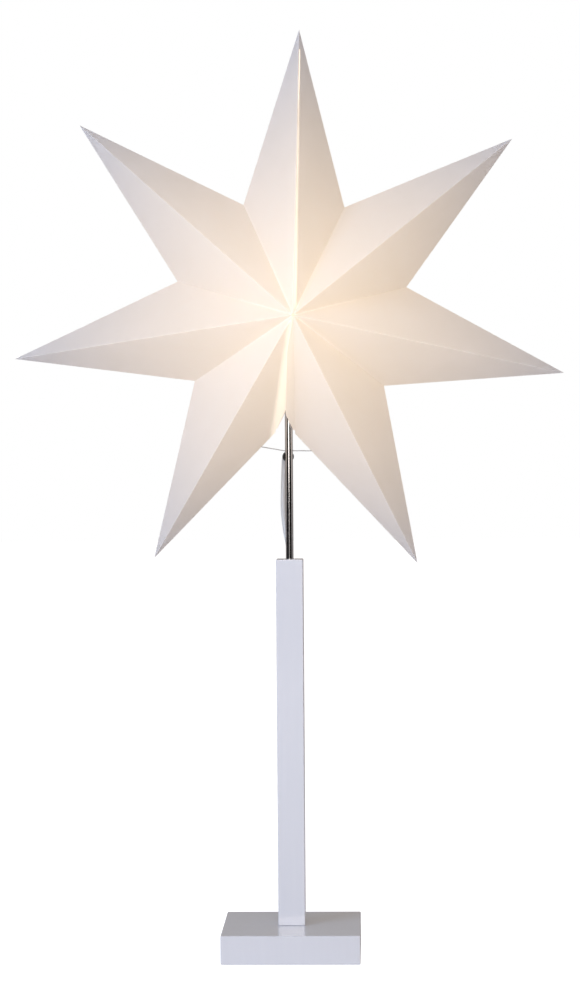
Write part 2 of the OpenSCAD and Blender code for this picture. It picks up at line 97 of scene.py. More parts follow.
TAIL_ROUTE = ((15.2, 85.4, 8.3), (11.2, 87.4, 8), (7.2, 88.5, 7.4), (3.6, 89, 7), (2, 89, 7))
PLUG_ENTRY = (2.0, 89.0, 7.0)

# Where the camera stands, in metres, and its yaw, pitch and roll in degrees
CAMERA_PLACE = (0.083, -2.75, 0.5263)
CAMERA_TURN = (-1.713, -1.261, -0.404)

# Plain finishes: colour, second shade, roughness, metallic, sheen, then grain and relief in mm
FINISHES = {
    # Nearly black, with a dull sheen and a fine spark-eroded grain
    "moulded_rubber": ("#0f0f10", "#151516", 0.62, 0.0, 0.0, 0.3, 0.01),
    # Smooth jacket, with long faint draw marks that only the gloss shows
    "extruded_pvc": ("#dcdcdc", "#d6d6d7", 0.38, 0.0, 0.0, 2.5, 0.02),
    # Glossy, a little whiter than the jacket
    "moulded_pvc": ("#e2e2e2", "#dddddd", 0.3, 0.0, 0.0, 1.2, 0.01),
    # Insulation on a single core: plain colour with a soft gloss
    "brown_pvc_insulation": ("#5a3018", "#4e2913", 0.4, 0.0, 0.0, 1.0, 0.004),
    "blue_pvc_insulation": ("#2a5aa8", "#244f96", 0.4, 0.0, 0.0, 1.0, 0.004),
    # Heat-proof resin: satin, hard, slightly warm white
    "moulded_urea_resin": ("#e4e2dd", "#dedcd6", 0.42, 0.0, 0.0, 0.6, 0.006),
    # Pressed ceramic: matt, off-white, with a fine tooth
    "fired_steatite": ("#e2ddd0", "#d8d2c4", 0.7, 0.0, 0.0, 0.35, 0.02),
    # Yellow metal strip with a slightly dulled surface
    "pressed_brass": ("#c8a050", "#b48c42", 0.28, 1.0, 0.0, 0.8, 0.004),
    # Pale grey metal, evenly bright
    "nickel_plate": ("#c2beb6", "#b8b4ac", 0.22, 1.0, 0.0, 0.8, 0.003),
    # Bluish grey metal, slightly cloudy
    "zinc_plate": ("#b4b8bc", "#a2a6aa", 0.36, 1.0, 0.0, 1.5, 0.004),
    # Unbleached grey white thread with a soft fibre edge
    "twisted_cotton": ("#c4c2c0", "#aeacab", 0.9, 0.0, 0.3, 0.25, 0.04),
}


def length(name, description, default, low, high):
    """Setting in metres."""
    return bpy.props.FloatProperty(
        name=name, description=description, default=default, min=low, max=high, unit="LENGTH")


def amount(name, description, default, low, high):
    """Setting that is a plain number."""
    return bpy.props.FloatProperty(
        name=name, description=description, default=default, min=low, max=high)


def hex_colour(name, description, default):
    """Setting that is a colour."""
    return bpy.props.StringProperty(
        name=name, description=description + ", as sRGB hex", default=default)


class StarSettings(bpy.types.PropertyGroup):
    """Sizes of the paper star"""

    tip_radius: length("Tip radius", "Radius of the ring of tips", 0.2863, 0.2, 0.4)
    notch_radius: length("Notch radius", "Radius of the ring of inner corners", 0.1202, 0.08, 0.16)
    half_depth: length("Half depth", "From the star's middle plane to its front peak", 0.09, 0.05, 0.15)
    paper: length("Paper", "Thickness of the card", 0.0004, 0.0002, 0.001)
    crown: length("Crown", "How far each face bows between its folds", 0.0007, 0.0, 0.004)
    card_colour: hex_colour("Card colour", "Colour of the card by daylight", "#e2dedd")
    glow_colour: hex_colour("Glow colour", "Colour of the light through the card", "#efeff2")


class CordSettings(bpy.types.PropertyGroup):
    """Sizes of the power cord"""

    whole: length("Length", "Whole length of the cord up to its plug", 1.8, 1.0, 3.0)
    diameter: length("Diameter", "Diameter of the cord's jacket", 0.005, 0.004, 0.007)
    turns: amount("Coil turns", "Turns of cord in the coil", 2460 / 360, 3.0, 10.0)
    jacket_colour: hex_colour("Jacket colour", "Colour of the jacket", "#dcdcdc")


class StandSettings(bpy.types.PropertyGroup):
    """Finish of the stand"""

    edge: length("Eased edge", "Radius of the edges of base and post", 0.001, 0.0003, 0.003)
    lacquer_colour: hex_colour("Lacquer colour", "Colour of the lacquer", "#e3e4ea")


class StudioSettings(bpy.types.PropertyGroup):
    """Light and camera of the studio"""

    key_power: amount("Key light", "Power of the light at the upper left, in watts", 40.0, 0.0, 500.0)
    fill_power: amount("Fill light", "Power of the light above the camera, in watts", 36.0, 0.0, 500.0)
    bulb_strength: amount("Bulb", "Brightness of the lit globe", 0.6, 0.0, 500.0)
    ambient: amount("Ambient", "Level of the even light from all round", 0.35, 0.0, 2.0)
    lens: amount("Lens", "Focal length of the camera in millimetres", 97.68, 20.0, 300.0)


class LanternSettings(bpy.types.PropertyGroup):
    """All settings of the lantern"""

    star: bpy.props.PointerProperty(type=StarSettings)
    cord: bpy.props.PointerProperty(type=CordSettings)
    stand: bpy.props.PointerProperty(type=StandSettings)
    studio: bpy.props.PointerProperty(type=StudioSettings)


def linear(colour):
    """Linear RGBA of an sRGB hex colour."""
    parts = [int(colour[k:k + 2], 16) / 255 for k in (1, 3, 5)]
    return tuple(c / 12.92 if c <= 0.04045 else ((c + 0.055) / 1.055) ** 2.4 for c in parts) + (1.0,)


def add_node(tree, kind, settings=None, inputs=None):
    """Adds a node, with its settings, and its inputs as values or as sockets to link."""
    node = tree.nodes.new(kind)
    for name, value in (settings or {}).items():
        setattr(node, name, value)
    for name, value in (inputs or {}).items():
        if isinstance(value, bpy.types.NodeSocket):
            tree.links.new(value, node.inputs[name])
        else:
            node.inputs[name].default_value = value
    return node
def calc(tree, operation, *values):
    """Result of a sum on values or sockets."""
    return add_node(tree, "ShaderNodeMath", {"operation": operation}, dict(enumerate(values))).outputs[0]


def glossy(tree, colour, roughness, normal, **more):
    """Principled surface; an input's name has an underscore for each space."""
    inputs = {name.replace("_", " "): value for name, value in more.items()}
    inputs.update({"Base Color": colour, "Roughness": roughness, "Normal": normal})
    return add_node(tree, "ShaderNodeBsdfPrincipled", inputs=inputs).outputs[0]


def emission(tree, strength, colour=(1.0, 1.0, 1.0, 1.0)):
    """Glowing surface."""
    return add_node(tree, "ShaderNodeEmission", inputs={"Color": colour, "Strength": strength}).outputs[0]


def added(tree, first, second):
    """Two shaders on top of each other."""
    return add_node(tree, "ShaderNodeAddShader", inputs={0: first, 1: second}).outputs[0]


def mixed(tree, share, first, second):
    """Two shaders mixed by a share of the second."""
    return add_node(tree, "ShaderNodeMixShader", inputs={0: share, 1: first, 2: second}).outputs[0]
def new_material(name, build):
    """Material whose surface is the shader socket that build(tree) returns."""
    material = bpy.data.materials.get(name)
    if material is not None:
        return material
    material = bpy.data.materials.new(name)
    material.use_nodes = True
    tree = material.node_tree
    tree.nodes.clear()
    add_node(tree, "ShaderNodeOutputMaterial", inputs={"Surface": build(tree)})
    return material


def object_point(tree):
    """Object coordinates, which are the lantern's own frame in metres."""
    return add_node(tree, "ShaderNodeTexCoord").outputs["Object"]


def grain(tree, size_mm, detail=2.0, stretch=(1, 1, 1)):
    """Noise with features of the given size in millimetres, stretched along the axes."""
    spread = add_node(tree, "ShaderNodeMapping", inputs={
        "Vector": object_point(tree), "Scale": [s / (size_mm * MM) for s in stretch]})
    return add_node(tree, "ShaderNodeTexNoise", inputs={
        "Vector": spread.outputs["Vector"], "Scale": 1.0, "Detail": detail}).outputs["Fac"]


def between(tree, fac, low, high):
    """Colour between two sRGB hex colours by a 0 to 1 factor."""
    mix = add_node(tree, "ShaderNodeMix", {"data_type": "RGBA"}, {"Factor": fac})
    for socket, colour in zip([s for s in mix.inputs if s.type == "RGBA"], (low, high)):
        socket.default_value = linear(colour)
    return next(s for s in mix.outputs if s.type == "RGBA")


def span(tree, value, from_low, from_high, to_low=0.0, to_high=1.0):
    """Value mapped from one range to another, smoothly, and clamped."""
    return add_node(tree, "ShaderNodeMapRange", {"interpolation_type": "SMOOTHSTEP"}, {
        "Value": value, "From Min": from_low, "From Max": from_high,
        "To Min": to_low, "To Max": to_high}).outputs["Result"]


def relief(tree, height, depth_mm, strength=1.0):
    """Bump from a 0 to 1 height that stands for the given depth."""
    return add_node(tree, "ShaderNodeBump", inputs={
        "Height": height, "Distance": depth_mm * MM, "Strength": strength}).outputs["Normal"]


def folded_card(settings):
    """Matt uncoated card, 0.4 mm, lit from inside: the bulb's light through the translucent card, with a
    painted glow on top, warm near the lamp and fading towards the tips, and painted bright lines along the
    folds and the open seam.
    """
    def build(tree):
        cloud = grain(tree, 22.0, 2.0)
        card = glossy(tree, between(tree, cloud, "#ddd9d7", settings.card_colour), 0.82,
                      relief(tree, grain(tree, 0.9, 3.0), 0.03, 0.6), Specular_IOR_Level=0.25)
        through = add_node(tree, "ShaderNodeBsdfTranslucent", inputs={
            "Color": linear(settings.glow_colour)}).outputs[0]
        sheet = mixed(tree, span(tree, cloud, 0.2, 0.8, 0.42, 0.46), card, through)
        # Distances from the fold, the open seam and the peak, carried on the mesh, that place the painted
        # light below
        folds = add_node(tree, "ShaderNodeAttribute", {"attribute_name": "folds"})
        from_fold, from_seam, from_hub = add_node(tree, "ShaderNodeSeparateXYZ", inputs={
            "Vector": folds.outputs["Vector"]}).outputs
        # Painted glow: strongest within 45 mm of the hub and gone at 300 mm, in place of the bulb's light
        # through the card
        near = add_node(tree, "ShaderNodeMapRange", inputs={
            "Value": from_hub, "From Min": 45 * MM, "From Max": 300 * MM,
            "To Min": 0.85, "To Max": 0.0}).outputs[0]
        painted_glow = emission(tree, near, between(tree, near, "#b29969", "#ae9a7c"))
        # Painted bright lines along the folds near the hub
        fold = calc(tree, "MULTIPLY", span(tree, from_fold, 0.2 * MM, 1.6 * MM, 1.0, 0.0),
                    span(tree, from_hub, 5 * MM, 130 * MM, 0.1, 0.0))
        # Plus a painted bright band along the open seam and over its loose flange
        power = calc(tree, "ADD", fold, span(tree, from_seam, 0.0, 9 * MM, 0.3, 0.0))
        return added(tree, sheet, added(tree, painted_glow, emission(tree, power, linear("#fff6e2"))))
    return new_material("folded_card", build)


def lacquered_wood(settings):
    """Planed softwood under a sprayed gloss lacquer: the grain only just shows as a ripple."""
    def build(tree):
        figure = grain(tree, 5.0, 4.0, (1, 1, 0.06))
        orange_peel = grain(tree, 1.6, 1.0)
        return glossy(tree, between(tree, figure, "#dfe0e7", settings.lacquer_colour),
                      span(tree, orange_peel, 0.2, 0.8, 0.15, 0.2), relief(tree, figure, 0.012, 0.5),
                      Coat_Weight=0.6, Coat_Roughness=0.06)
    return new_material("gloss_lacquer_on_softwood", build)


def plain_finish(name, colour=None):
    """One of FINISHES, in another colour if given: two close shades and a fine bump of a real size."""
    own, shade, roughness, metallic, sheen, size_mm, depth_mm = FINISHES[name]

    def build(tree):
        speck = grain(tree, size_mm, 2.0)
        return glossy(tree, between(tree, speck, shade, colour or own),
                      span(tree, speck, 0.25, 0.75, roughness * 0.9, min(1.0, roughness * 1.1)),
                      relief(tree, speck, depth_mm, 0.5), Metallic=metallic, Sheen_Weight=sheen)
    return new_material(name, build)


def chromed_steel():
    """Steel tube, polished and chrome-plated: a clean mirror with faint lines along the tube."""
    def build(tree):
        lines = grain(tree, 0.5, 2.0, (1, 1, 0.01))
        return glossy(tree, between(tree, lines, "#b9b9bb", "#c6c6c8"),
                      span(tree, lines, 0.3, 0.7, 0.07, 0.12), relief(tree, lines, 0.001, 0.2), Metallic=1.0)
    return new_material("chrome_plated_steel", build)


def opal_glass(strength):
    """Opal glass globe, lit: it glows evenly, a little deeper towards its neck."""
    def build(tree):
        height = add_node(tree, "ShaderNodeSeparateXYZ", inputs={"Vector": object_point(tree)})
        upward = span(tree, height.outputs["Z"], 606 * MM, 630 * MM)
        shader = add_node(tree, "ShaderNodeBsdfPrincipled", inputs={
            "Base Color": between(tree, upward, "#efe3cc", "#fbf6ec"), "Roughness": 0.18,
            "Emission Color": between(tree, upward, "#ffc98a", "#ffdfb4"),
            "Emission Strength": strength})
        return shader.outputs[0]
    return new_material("opal_glass", build)



def webbing():
    """Woven nylon strap: crossing threads, 0.8 mm apart, dark grey."""
    def build(tree):
        threads = [add_node(tree, "ShaderNodeTexWave", {"bands_direction": way}, {
            "Vector": object_point(tree), "Scale": 0.314 / (0.8 * MM), "Distortion": 0.4})
            for way in ("X", "Z")]
        weave = calc(tree, "MAXIMUM", *[t.outputs["Fac"] for t in threads])
        return glossy(tree, between(tree, weave, "#2c2c2e", "#434346"), 0.85, relief(tree, weave, 0.15),
                      Sheen_Weight=0.2)
    return new_material("woven_nylon", build)


def link(obj):
    """Puts a new object in the scene."""
    bpy.context.scene.collection.objects.link(obj)
    return obj


def new_piece(name, verts, faces, sharp=35.0):
    """Closed mesh piece from points in millimetres, smooth between its sharp edges."""
    mesh = bpy.data.meshes.new(name)
    mesh.from_pydata([tuple(c * MM for c in p) for p in verts], [], faces)
    shape = bmesh.new()
    shape.from_mesh(mesh)
    bmesh.ops.remove_doubles(shape, verts=shape.verts, dist=1e-6)
    return finish_mesh(name, mesh, shape, sharp)


def finish_mesh(name, mesh, shape, sharp):
    """Object from a mesh and its edited shape: faces turned outwards, smooth between sharp edges."""
    bmesh.ops.recalc_face_normals(shape, faces=shape.faces)
    shape.to_mesh(mesh)
    shape.free()
    return shaded(name, mesh, sharp)


def shaded(name, mesh, sharp=35.0):
    """Object from a mesh, smooth between edges sharper than an angle in degrees."""
    mesh.shade_smooth()
    mesh.set_sharp_from_angle(angle=math.radians(sharp))
    return link(bpy.data.objects.new(name, mesh))


def finish_piece(obj, material, slot, *nodes):
    """Gives a piece its material, lets it stand for its CAD nodes and ride on the body. The slot argument is
    not used.
    """
    obj.data.materials.clear()
    obj.data.materials.append(material)
    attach(obj, "root")
    if nodes:
        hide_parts(*nodes)
    return obj


def dress_node(name, material):
    """Gives a CAD node that is kept its finish."""
    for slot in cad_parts[name].material_slots:
        slot.material = material


def join_pieces(name, objects):
    """One mesh object from several."""
    shape = bmesh.new()
    for obj in objects:
        shape.from_mesh(obj.data)
        bpy.data.objects.remove(obj)
    mesh = bpy.data.meshes.new(name)
    shape.to_mesh(mesh)
    shape.free()
    return shaded(name, mesh)


def made_plain(obj, name, sharp=35.0):
    """Plain mesh object from one with modifiers, which is removed."""
    graph = bpy.context.evaluated_depsgraph_get()
    mesh = bpy.data.meshes.new_from_object(obj.evaluated_get(graph), depsgraph=graph)
    bpy.data.objects.remove(obj)
    mesh.name = name
    return shaded(name, mesh, sharp)


def revolved(profile, centre=(0.0, 0.0), sides=64):
    """Points and faces of a closed profile of (radius, height), turned about a standing axis."""
    verts, faces = [], []
    for k in range(sides):
        a = 2 * math.pi * k / sides
        verts += [(centre[0] + r * math.cos(a), centre[1] + r * math.sin(a), z) for r, z in profile]
    n = len(profile)
    for k in range(sides):
        for i in range(n):
            a, b = k * n, (k + 1) % sides * n
            faces.append((a + i, b + i, b + (i + 1) % n, a + (i + 1) % n))
    return verts, faces


def threaded(outer, z_low, z_high, depth, pitch, inner, sides=48, steps=10):
    """Points and faces of a tube with a rolled screw thread, waved the same outside and inside."""
    rows = int((z_high - z_low) / pitch * steps)
    verts, faces = [], []
    for wall in (outer, inner):
        for j in range(rows + 1):
            z = z_low + (z_high - z_low) * j / rows
            fade = min(1.0, 4 * min(j, rows - j) / rows)
            for k in range(sides):
                a = 2 * math.pi * k / sides
                wave = depth * fade * (0.5 * math.cos(2 * math.pi * z / pitch - a) - 0.5)
                r = wall + wave
                verts.append((r * math.cos(a), r * math.sin(a), z))
    count = (rows + 1) * sides
    for wall in (0, count):
        for j in range(rows):
            for k in range(sides):
                a, b = wall + j * sides + k, wall + j * sides + (k + 1) % sides
                faces.append((a, b, b + sides, a + sides))
    for j in (0, rows):
        for k in range(sides):
            a, b = j * sides + k, j * sides + (k + 1) % sides
            faces.append((a, b, b + count, a + count))
    return verts, faces


def curve_through(points, steps):
    """Points of a smooth curve through a route."""
    p = [v3(*q) for q in points]
    found = []
    for i in range(len(p) - 1):
        a, b, c, d = p[max(i - 1, 0)], p[i], p[i + 1], p[min(i + 2, len(p) - 1)]
        for k in range(steps):
            t = k / steps
            found.append(0.5 * (2 * b + (c - a) * t + (2 * a - 5 * b + 4 * c - d) * t * t
                                + (3 * b - a - 3 * c + d) * t ** 3))
    return found + [p[-1]]


def path_curve(name, points, radius, resolution=4):
    """Curve object of one open line through points in millimetres, as thick as its radius."""
    data = bpy.data.curves.new(name, "CURVE")
    data.dimensions = "3D"
    spline = data.splines.new("POLY")
    spline.points.add(len(points) - 1)
    for spot, p in zip(spline.points, points):
        spot.co = (p[0] * MM, p[1] * MM, p[2] * MM, 1.0)
    spline.use_smooth = True
    data.bevel_depth = radius * MM
    data.bevel_resolution = resolution
    data.use_fill_caps = radius > 0
    return link(bpy.data.objects.new(name, data))


def modified_by_nodes(obj, tree, values, name, sharp=35.0):
    """Runs a Geometry Nodes tree on obj with its inputs set, and returns the plain result."""
    modifier = obj.modifiers.new(tree.name, "NODES")
    modifier.node_group = tree
    for item in tree.interface.items_tree:
        if item.in_out == "INPUT" and item.name in values:
            modifier[item.identifier] = values[item.name]
    return made_plain(obj, name, sharp)


def nodes_tree(name, inputs):
    """New Geometry Nodes tree with named inputs; returns the tree and the sockets of its inputs."""
    tree = bpy.data.node_groups.new(name, "GeometryNodeTree")
    for way in ("OUTPUT", "INPUT"):
        tree.interface.new_socket("Geometry", in_out=way, socket_type="NodeSocketGeometry")
    for label, kind, value in inputs + [("Material", "Material", None)]:
        socket = tree.interface.new_socket(label, in_out="INPUT", socket_type="NodeSocket" + kind)
        if value is not None:
            socket.default_value = value
    return tree, add_node(tree, "NodeGroupInput").outputs


def finish_tree(tree, geometry, given):
    """Ends a tree in Realize Instances and Set Material."""
    real = add_node(tree, "GeometryNodeRealizeInstances", inputs={"Geometry": geometry})
    dressed = add_node(tree, "GeometryNodeSetMaterial", inputs={
        "Geometry": real.outputs[0], "Material": given["Material"]})
    add_node(tree, "NodeGroupOutput", inputs={0: dressed.outputs[0]})
    return tree


def circle_line(tree, resolution, radius):
    """Round profile or path."""
    return add_node(tree, "GeometryNodeCurvePrimitiveCircle", {"mode": "RADIUS"}, {
        "Resolution": resolution, "Radius": radius}).outputs[0]


def combined(tree, x, y, z):
    """Vector from three numbers or sockets."""
    return add_node(tree, "ShaderNodeCombineXYZ", inputs={"X": x, "Y": y, "Z": z}).outputs[0]


def strand_tree():
    """Two strands wound round each other along a path, as thread is twisted."""
    tree, given = nodes_tree("twisted_strands", [
        ("Strand radius", "Float", 0.0003), ("Lay length", "Float", 0.003)])
    fine = add_node(tree, "GeometryNodeResampleCurve", {"mode": "LENGTH"}, {
        "Curve": given["Geometry"], "Length": 0.0004})
    along = add_node(tree, "GeometryNodeSplineParameter").outputs["Length"]
    angle = calc(tree, "MULTIPLY", calc(tree, "DIVIDE", along, given["Lay length"]), 2 * math.pi)
    normal = add_node(tree, "GeometryNodeInputNormal").outputs[0]
    tangent = add_node(tree, "GeometryNodeInputTangent").outputs[0]
    profile = circle_line(tree, 6, given["Strand radius"])
    both = add_node(tree, "GeometryNodeJoinGeometry")
    for start in (0.0, math.pi):
        way = add_node(tree, "ShaderNodeVectorRotate", {"rotation_type": "AXIS_ANGLE"}, {
            "Vector": normal, "Axis": tangent, "Angle": calc(tree, "ADD", angle, start)})
        offset = add_node(tree, "ShaderNodeVectorMath", {"operation": "SCALE"}, {
            0: way.outputs[0], "Scale": given["Strand radius"]})
        moved = add_node(tree, "GeometryNodeSetPosition", inputs={
            "Geometry": fine.outputs[0], "Offset": offset.outputs[0]})
        strand = add_node(tree, "GeometryNodeCurveToMesh", inputs={
            "Curve": moved.outputs[0], "Profile Curve": profile, "Fill Caps": True})
        tree.links.new(strand.outputs[0], both.inputs[0])
    return finish_tree(tree, both.outputs[0], given)


def ring_of_ribs_tree():
    """Upright ribs, evenly spaced round a standing axis."""
    tree, given = nodes_tree("ring_of_ribs", [
        ("Count", "Int", 24), ("Radius", "Float", 0.014), ("Height", "Float", 0.01),
        ("Width", "Float", 0.0012), ("Middle", "Vector", None)])
    ring = add_node(tree, "GeometryNodeMeshCircle", inputs={
        "Vertices": given["Count"], "Radius": given["Radius"]})
    rib = add_node(tree, "GeometryNodeMeshIcoSphere", inputs={"Radius": 0.5, "Subdivisions": 2})
    shaped = add_node(tree, "GeometryNodeTransform", inputs={
        "Geometry": rib.outputs[0], "Scale": combined(tree, given["Width"], given["Width"], given["Height"])})
    ribs = add_node(tree, "GeometryNodeInstanceOnPoints", inputs={
        "Points": ring.outputs[0], "Instance": shaped.outputs[0]})
    placed = add_node(tree, "GeometryNodeTransform", inputs={
        "Geometry": ribs.outputs[0], "Translation": given["Middle"]})
    return finish_tree(tree, placed.outputs[0], given)


def row_of_rings_tree():
    """Rings in a row that grow evenly, as on a moulded strain relief."""
    tree, given = nodes_tree("row_of_rings", [
        ("Count", "Int", 6), ("Start", "Vector", None), ("Step", "Vector", None),
        ("First radius", "Float", 0.003), ("Growth", "Float", 0.0004)])
    row = add_node(tree, "GeometryNodeMeshLine", {"mode": "OFFSET"}, {
        "Count": given["Count"], "Start Location": given["Start"], "Offset": given["Step"]})
    ring = add_node(tree, "GeometryNodeCurveToMesh", inputs={
        "Curve": circle_line(tree, 40, 1.0), "Profile Curve": circle_line(tree, 8, 0.16)})
    index = add_node(tree, "GeometryNodeInputIndex").outputs[0]
    grown = calc(tree, "MULTIPLY_ADD", index, given["Growth"], given["First radius"])
    rings = add_node(tree, "GeometryNodeInstanceOnPoints", inputs={
        "Points": row.outputs[0], "Instance": ring.outputs[0], "Rotation": (0.0, math.pi / 2, 0.0),
        "Scale": combined(tree, grown, grown, grown)})
    return finish_tree(tree, rings.outputs[0], given)


def unit(v):
    """Vector of length one."""
    return v / np.linalg.norm(v)


def square_to(v, way):
    """The part of v at right angles to way, of length one."""
    return unit(v - (v @ way) * way)


def mirrored(p):
    """Point on the other side of the star's middle plane."""
    return p * v3(1, -1, 1)


def plane_facing(a, b, c, inside):
    """Plane through three points as (normal, distance), its normal towards inside."""
    n = unit(np.cross(b - a, c - a))
    if n @ (inside - a) < 0:
        n = -n
    return n, n @ a


def meet(*planes):
    """The point where three planes meet."""
    return np.linalg.solve(np.array([n for n, _ in planes]), np.array([d for _, d in planes]))


class StarShape:
    """Places on the star, in millimetres, as the solids have them."""

    seam_gap = 5.5
    seam_left = 6.1
    seam_right = 3.4
    seam_r = 123.0
    left_flange_turn = 45.0
    right_flange_lift = 18.0
    turn = 1.9
    hub_drop = 7.4
    hub_side = 4.5
    notch_drop = 1.5
    tip_shift = ((1.2, 0, -2.6), (-0.2, 0, 0.6), (0.7, 0, 2.7), (0.6, 0, 0), (-1.3, 0, -0.6),
                 (-1.6, 0, 0.8), (0.9, 0, -0.3))
    flange = 8.0
    free_flange = 9.5
    peak_hole = 1.8
    lap = 4.0

    def __init__(self, settings):
        self.tip_r = settings.tip_radius / MM
        self.notch_r = settings.notch_radius / MM
        self.depth = settings.half_depth / MM
        self.paper = settings.paper / MM
        self.crown = settings.crown / MM
        self.centre = v3(3.2, 0, POST_TOP + 252.2)
        self.front = self.centre + v3(self.hub_side, -self.depth, -self.hub_drop)
        self.back = mirrored(self.front)
        self.pitch = (360 - self.seam_gap) / POINT_COUNT

    def ring_point(self, radius, angle, drop):
        a = math.radians(angle + self.turn)
        return self.centre + v3(radius * math.sin(a), 0, radius * math.cos(a) - drop)

    def tip(self, i):
        angle = (i - MIDDLE_POINT) * self.pitch
        return self.ring_point(self.tip_r, angle, 0) + v3(*self.tip_shift[i - 1])

    def is_free(self, i, side):
        """Whether this side of a point lies at the open seam."""
        return (i, side) in ((1, -1), (POINT_COUNT, 1))

    def notch(self, i, side):
        if self.is_free(i, side):
            angle = self.seam_left - 180 if side < 0 else 180 - self.seam_right
            return self.ring_point(self.seam_r, angle, self.notch_drop)
        angle = (i - MIDDLE_POINT + 0.5 * side) * self.pitch
        return self.ring_point(self.notch_r, angle, self.notch_drop)

    def flange_way(self, i, side, fold):
        if not self.is_free(i, side):
            return square_to(self.back - self.front, fold)
        a = math.radians(self.left_flange_turn if side < 0 else self.right_flange_lift)
        return square_to(-side * v3(math.cos(a), math.sin(a), 0), fold)


class Sheet:
    """Collects the patches of one folded sheet: outer and inner points that share their borders."""

    def __init__(self):
        self.index = {}
        self.outer = []
        self.inner = []
        self.faces = []
        self.marks = []

    def spot(self, outer, inner):
        key = tuple(np.round(outer, 3))
        if key not in self.index:
            self.index[key] = len(self.outer)
            self.outer.append(outer)
            self.inner.append(inner)
        return self.index[key]

    def patch(self, rows_outer, rows_inner, mark):
        """Faces between rows of points; mark gives the fold distances at an outer point."""
        grid = [[self.spot(o, i) for o, i in zip(ro, ri)] for ro, ri in zip(rows_outer, rows_inner)]
        for r in range(len(grid) - 1):
            for c in range(len(grid[0]) - 1):
                corners = [(r, c), (r, c + 1), (r + 1, c + 1), (r + 1, c)]
                face = [grid[a][b] for a, b in corners]
                if len(set(face)) < 4:
                    continue
                self.faces.append(face)
                self.marks.append([mark(rows_outer[a][b]) for a, b in corners])

    def build(self, name):
        """Closed mesh object: outer faces, inner faces and the rim between them."""
        count = len(self.outer)
        edges = {}
        for face in self.faces:
            for a, b in zip(face, face[1:] + face[:1]):
                edges.setdefault(frozenset((a, b)), []).append((a, b))
        rim = [pairs[0] for pairs in edges.values() if len(pairs) == 1]
        faces = list(self.faces) + [[k + count for k in reversed(f)] for f in self.faces]
        # The inner faces sit past the reach of the painted glow; the rim takes some painted glow from the hub
        marks = list(self.marks) + [[(FAR, FAR, 0.3)] * len(m) for m in self.marks]
        for a, b in rim:
            faces.append([b, a, a + count, b + count])
            marks.append([(FAR, FAR, 0.2)] * 4)
        mesh = bpy.data.meshes.new(name)
        mesh.from_pydata([tuple(p * MM) for p in self.outer + self.inner], [], faces)
        folds = mesh.attributes.new("folds", "FLOAT_VECTOR", "CORNER")
        folds.data.foreach_set("vector", [x for face in marks for corner in face for x in corner])
        shape = bmesh.new()
        shape.from_mesh(mesh)
        return finish_mesh(name, mesh, shape, 14)


def rows_between(a, b, c, d, along, across):
    """Rows from line a-b to line d-c; each row runs along the lines."""
    return [[(1 - s) * ((1 - t) * a + t * b) + s * ((1 - t) * d + t * c) for t in along] for s in across]


def bowed(rows, normal, along, across, height, seed):
    """Moves the middle of a face out along its normal, with a slight wave of the card."""
    found = []
    for row, s in zip(rows, across):
        line = []
        for p, t in zip(row, along):
            calm = math.sin(math.pi * s) * math.sin(math.pi * min(1.0, t * 1.02))
            wave = noise.noise(Vector((p[0] / 46 + seed, p[1] / 46, p[2] / 46)))
            line.append(p - normal * calm * (height + 0.5 * wave))
        found.append(line)
    return found


def line_distance(p, a, way):
    """Distance of a point from the line through a along way, in metres."""
    q = p - a
    return float(np.linalg.norm(q - (q @ way) * way)) * MM


def flange_edge(root, near, far, notch, along):
    """Points along a flange's free edge for the same steps as its fold."""
    fold = notch - root
    length = np.linalg.norm(fold)
    marks = [0.0, (near - root) @ fold / length ** 2, (far - root) @ fold / length ** 2, 1.0]
    corners = np.array([root, near, far, notch])
    return [v3(*[np.interp(t, marks, corners[:, k]) for k in range(3)]) for t in along]


